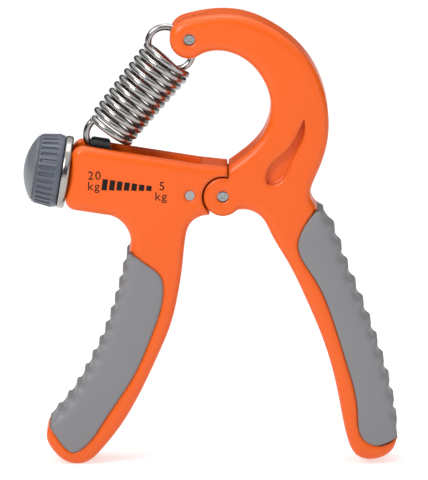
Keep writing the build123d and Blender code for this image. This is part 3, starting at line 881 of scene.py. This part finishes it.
# ---------------------------------------------------------------- pull scale
@dataclass
class PullScale:
    """Printed scale on the housing's near face: falling bars between a high and a low figure.

    Places are (x, z) millimetres from the pivot. The row falls with the housing.
    """

    face_y: float = -10.5
    ink: float = 0.04
    first_bar: tuple[float, float] = (-38.8, 4.2)
    pitch: float = 2.42
    fall: float = 0.2
    bar_width: float = 1.75
    tallest: float = 3.7
    shortest: float = 1.7
    bars: int = 7
    lean_deg: float = -8.0
    labels: tuple[tuple[str, float, float], ...] = (
        ("20", -42.2, 7.1), ("kg", -42.5, 3.6), ("5", -20.0, 3.6), ("kg", -20.4, 0.2),
    )
    text_size: float = 4.0
    boldness: float = 0.01
    letter_spacing: float = 1.2

    def plate(self, name: str, flat: Array) -> bpy.types.Object:
        """Thin closed plate of ink on the housing's near face.

        Args:
            name: Object name.
            flat: Rows of (x, z) corners in millimetres from the pivot.

        Returns:
            The plate.
        """
        depths = np.array([self.face_y + self.ink, self.face_y - self.ink])
        rows = [np.stack([flat[:, 0], np.full(len(flat), y), flat[:, 1]], axis=1) for y in depths]
        return solid_from_grid(name, PIVOT + np.stack(rows), caps=True, sharp_deg=30.0)

    def bar_plates(self) -> list[bpy.types.Object]:
        """The falling bars, each leaning a little and lower than the last.

        Returns:
            One plate for each bar.
        """
        plates = []
        lean = math.radians(self.lean_deg)
        for index in range(self.bars):
            share = index / (self.bars - 1)
            height = self.tallest + (self.shortest - self.tallest) * share
            corners = np.array([(-1, -1), (1, -1), (1, 1), (-1, 1)]) * (self.bar_width / 2, height / 2)
            turn = np.array([[math.cos(lean), -math.sin(lean)], [math.sin(lean), math.cos(lean)]])
            middle = np.array([
                self.first_bar[0] + self.pitch * index,
                self.first_bar[1] - self.fall * index,
            ])
            plates.append(self.plate(f"scale_bar_{index + 1}", middle + corners @ turn.T))
        return plates

    def label_plates(self) -> list[bpy.types.Object]:
        """The figures and units, as meshes of flat letters with the ink's thickness.

        Returns:
            One piece for each label.
        """
        plates = []
        for index, (words, x, z) in enumerate(self.labels):
            curve = bpy.data.curves.new(f"scale_label_{index + 1}", "FONT")
            curve.body = words
            curve.align_x, curve.align_y = "CENTER", "CENTER"
            curve.size = self.text_size * MM
            curve.space_character = self.letter_spacing
            curve.offset = self.boldness * MM
            curve.extrude = self.ink * MM
            lettering = bpy.data.objects.new(curve.name, curve)
            bpy.context.scene.collection.objects.link(lettering)
            bpy.context.view_layer.update()
            mesh = bpy.data.meshes.new_from_object(lettering)
            bpy.data.objects.remove(lettering)
            flat = np.empty(len(mesh.vertices) * 3)
            mesh.vertices.foreach_get("co", flat)
            flat = flat.reshape(-1, 3)
            place = (PIVOT + np.array([x, self.face_y, z])) * MM
            mesh.vertices.foreach_set("co", (place + flat[:, [0, 2, 1]] * (1, -1, 1)).ravel())
            merge_and_face_outward(mesh)
            piece = bpy.data.objects.new(f"scale_label_{index + 1}", mesh)
            bpy.context.scene.collection.objects.link(piece)
            plates.append(piece)
        return plates

    def build(self) -> list[bpy.types.Object]:
        """Prints the whole scale on the fixed arm.

        Returns:
            The bars and the labels.
        """
        pieces = self.bar_plates() + self.label_plates()
        for piece in pieces:
            dress(piece, Finishes.SCALE_INK)
            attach(piece, "fixed_handle")
        return pieces


# ---------------------------------------------------------------- plain machined pieces
CAD_FINISHES = {
    "fixed_arm": Finishes.ORANGE_ABS,
    "moving_arm": Finishes.ORANGE_ABS,
    "pivot_barrel": Finishes.ZINC_STEEL,
    "pivot_screws": Finishes.ZINC_STEEL,
    "pivot_washers": Finishes.NYLON,
    "hook_pin": Finishes.ZINC_STEEL,
    "hook_screws": Finishes.ZINC_STEEL,
    "tip_cross_pin": Finishes.ZINC_STEEL,
    "tip_bearing": Finishes.BRONZE_BUSH,
    "rear_bush": Finishes.BRONZE_BUSH,
    "collar_ring": Finishes.CHROMED_COLLAR,
    "knob_washer": Finishes.ZINC_STEEL,
    "knob_nut": Finishes.ZINC_STEEL,
    "slider_block": Finishes.BLACKENED_STEEL,
    "slider_pin": Finishes.BLACKENED_STEEL,
}


def dress_machined_pieces() -> None:
    """Gives every carried-over piece its finish."""
    for name, finish in CAD_FINISHES.items():
        dress(frame["nodes"][name], finish)


# ---------------------------------------------------------------- studio
@dataclass
class Studio:
    """Pale floor, soft lights and a long-lens camera a little above the middle of the gripper.

    A light is its name, its place from the pivot and its side in millimetres, and its watts. A
    room level is a height, as a direction's upward share, and the brightness there.
    """

    elevation_deg: float = 9.5
    distance_mm: float = 3000.0
    view_height_mm: float = 158.4
    aim_from_pivot: tuple[float, float] = (-2.9, -15.95)
    paper_glow: float = 0.62
    film_mm: float = 36.0
    clip_m: tuple[float, float] = (0.01, 50.0)
    floor_reach_m: float = 8.0
    room_strength: float = 1.05
    room_levels: tuple[tuple[float, float], ...] = (
        (0.0, 0.03), (0.38, 0.08), (0.55, 0.9), (0.8, 1.0),
    )
    lights: tuple[tuple[str, tuple[float, float, float], float, float], ...] = (
        ("key_softbox", (-330.0, -400.0, 360.0), 240.0, 2.3),
        ("fill_softbox", (600.0, -620.0, 120.0), 420.0, 0.8),
        ("top_softbox", (0.0, 60.0, 760.0), 420.0, 1.8),
    )

    def camera(self) -> None:
        """Puts the camera in front of the aim point, raised by the elevation and turned to it."""
        aim = PIVOT + np.array([self.aim_from_pivot[0], 0.0, self.aim_from_pivot[1]])
        rise = math.radians(self.elevation_deg)
        place = aim + self.distance_mm * np.array([0.0, -math.cos(rise), math.sin(rise)])
        lens = bpy.data.cameras.new("studio_camera")
        lens.sensor_width = self.film_mm
        lens.lens = self.film_mm * self.distance_mm / self.view_height_mm
        lens.clip_start, lens.clip_end = self.clip_m
        camera = bpy.data.objects.new("studio_camera", lens)
        camera.location = (place * MM).tolist()
        camera.rotation_euler = (math.pi / 2 - rise, 0.0, 0.0)
        bpy.context.scene.collection.objects.link(camera)
        bpy.context.scene.camera = camera

    def softboxes(self) -> None:
        """Square area lights aimed at the pivot."""
        for name, offset, size, watts in self.lights:
            lamp = bpy.data.lights.new(name, "AREA")
            lamp.size = size * MM
            lamp.energy = watts
            place = PIVOT + np.array(offset)
            light = bpy.data.objects.new(name, lamp)
            light.location = (place * MM).tolist()
            toward = -unit(np.array(offset))
            pitch = math.acos(-toward[2])
            turn = math.atan2(-toward[0], toward[1])
            light.rotation_euler = (pitch, 0.0, turn)
            bpy.context.scene.collection.objects.link(light)

    def surroundings(self) -> None:
        """Room that is dark up to above the horizon and white overhead, for bright metal."""
        world = bpy.data.worlds.new("studio_room")
        bpy.context.scene.world = world
        world.use_nodes = True
        tree = world.node_tree
        tree.nodes.clear()
        way = add_node(tree, "ShaderNodeTexCoord").outputs["Generated"]
        height = add_node(tree, "ShaderNodeSeparateXYZ", {0: way}).outputs["Z"]
        ramp = add_node(tree, "ShaderNodeValToRGB", {0: height})
        stops = ramp.color_ramp.elements
        stops.remove(stops[1])
        stops[0].position = self.room_levels[0][0]
        for position, _ in self.room_levels[1:]:
            stops.new(position)
        for stop, (_, level) in zip(stops, self.room_levels):
            stop.color = (level, level, level, 1.0)
        room = add_node(tree, "ShaderNodeBackground", {
            "Color": ramp.outputs[0], "Strength": self.room_strength,
        })
        add_node(tree, "ShaderNodeOutputWorld", {"Surface": room.outputs[0]})

    def floor(self) -> None:
        """Plain pale floor under the handles' ends, glowing a little so that shadows stay faint."""
        mesh = bpy.data.meshes.new("floor")
        reach = self.floor_reach_m
        mesh.from_pydata([(-reach, -reach, 0), (reach, -reach, 0), (reach, reach, 0),
                          (-reach, reach, 0)], [], [(0, 1, 2, 3)])
        floor = bpy.data.objects.new("floor", mesh)
        bpy.context.scene.collection.objects.link(floor)
        material = bpy.data.materials.new("pale_paper")
        material.use_nodes = True
        shader = material.node_tree.nodes["Principled BSDF"]
        shader.inputs["Base Color"].default_value = linear("#b9b9b9")
        shader.inputs["Roughness"].default_value = 0.9
        shader.inputs["Emission Color"].default_value = linear("#ffffff")
        shader.inputs["Emission Strength"].default_value = self.paper_glow
        mesh.materials.append(material)

    def build(self) -> None:
        """Sets the camera, lights, room and floor."""
        self.camera()
        self.softboxes()
        self.surroundings()
        self.floor()
        bpy.context.scene.view_settings.view_transform = "Standard"


# ---------------------------------------------------------------- the whole gripper
FIXED_SLEEVE = GripSleeve(
    node="fixed_grip_sleeve", body="fixed_handle", half_width=11.1,
    edge=(
        (-30.4, -18.4), (-25.3, -22.4), (-20.5, -26.6), (-19.7, -33.1), (-23.1, -45.2),
        (-29.3, -59.5), (-39.3, -75.0), (-46.2, -83.9), (-49.4, -85.4), (-53.2, -82.5),
        (-57.2, -76.4),
    ),
    outer=(
        (-30.4, -18.4), (-32.8, -28.3), (-35.5, -38.4), (-39.2, -48.6), (-43.7, -57.6),
        (-49.3, -66.9), (-57.0, -76.2),
    ),
)
MOVING_SLEEVE = GripSleeve(
    node="moving_grip_sleeve", body="moving_handle", half_width=10.7,
    edge=(
        (30.8, -4.4), (26.4, -10.8), (24.8, -15.8), (30.0, -26.9), (36.3, -41.0), (41.1, -56.3),
        (44.5, -71.7), (46.6, -81.2), (49.7, -83.0), (57.4, -80.2),
    ),
    outer=(
        (30.8, -4.4), (33.9, -7.9), (39.2, -20.8), (44.4, -33.7), (48.6, -44.6), (52.3, -55.4),
        (55.3, -66.3), (57.7, -80.4),
    ),
)


def main() -> None:
    """Builds each sub-assembly in order, then the studio."""
    dress_machined_pieces()
    pieces = [
        FIXED_SLEEVE.build(),
        MOVING_SLEEVE.build(),
        TensionSpring().build(),
        *AdjustingKnob().build(),
        LeadScrew().build(),
        *PullScale().build(),
    ]
    for piece in pieces:
        log.info("%s: %d faces", piece.name, len(piece.data.polygons))
    Studio().build()


if __name__ == "__main__":
    logging.basicConfig(level=logging.INFO)
    main()
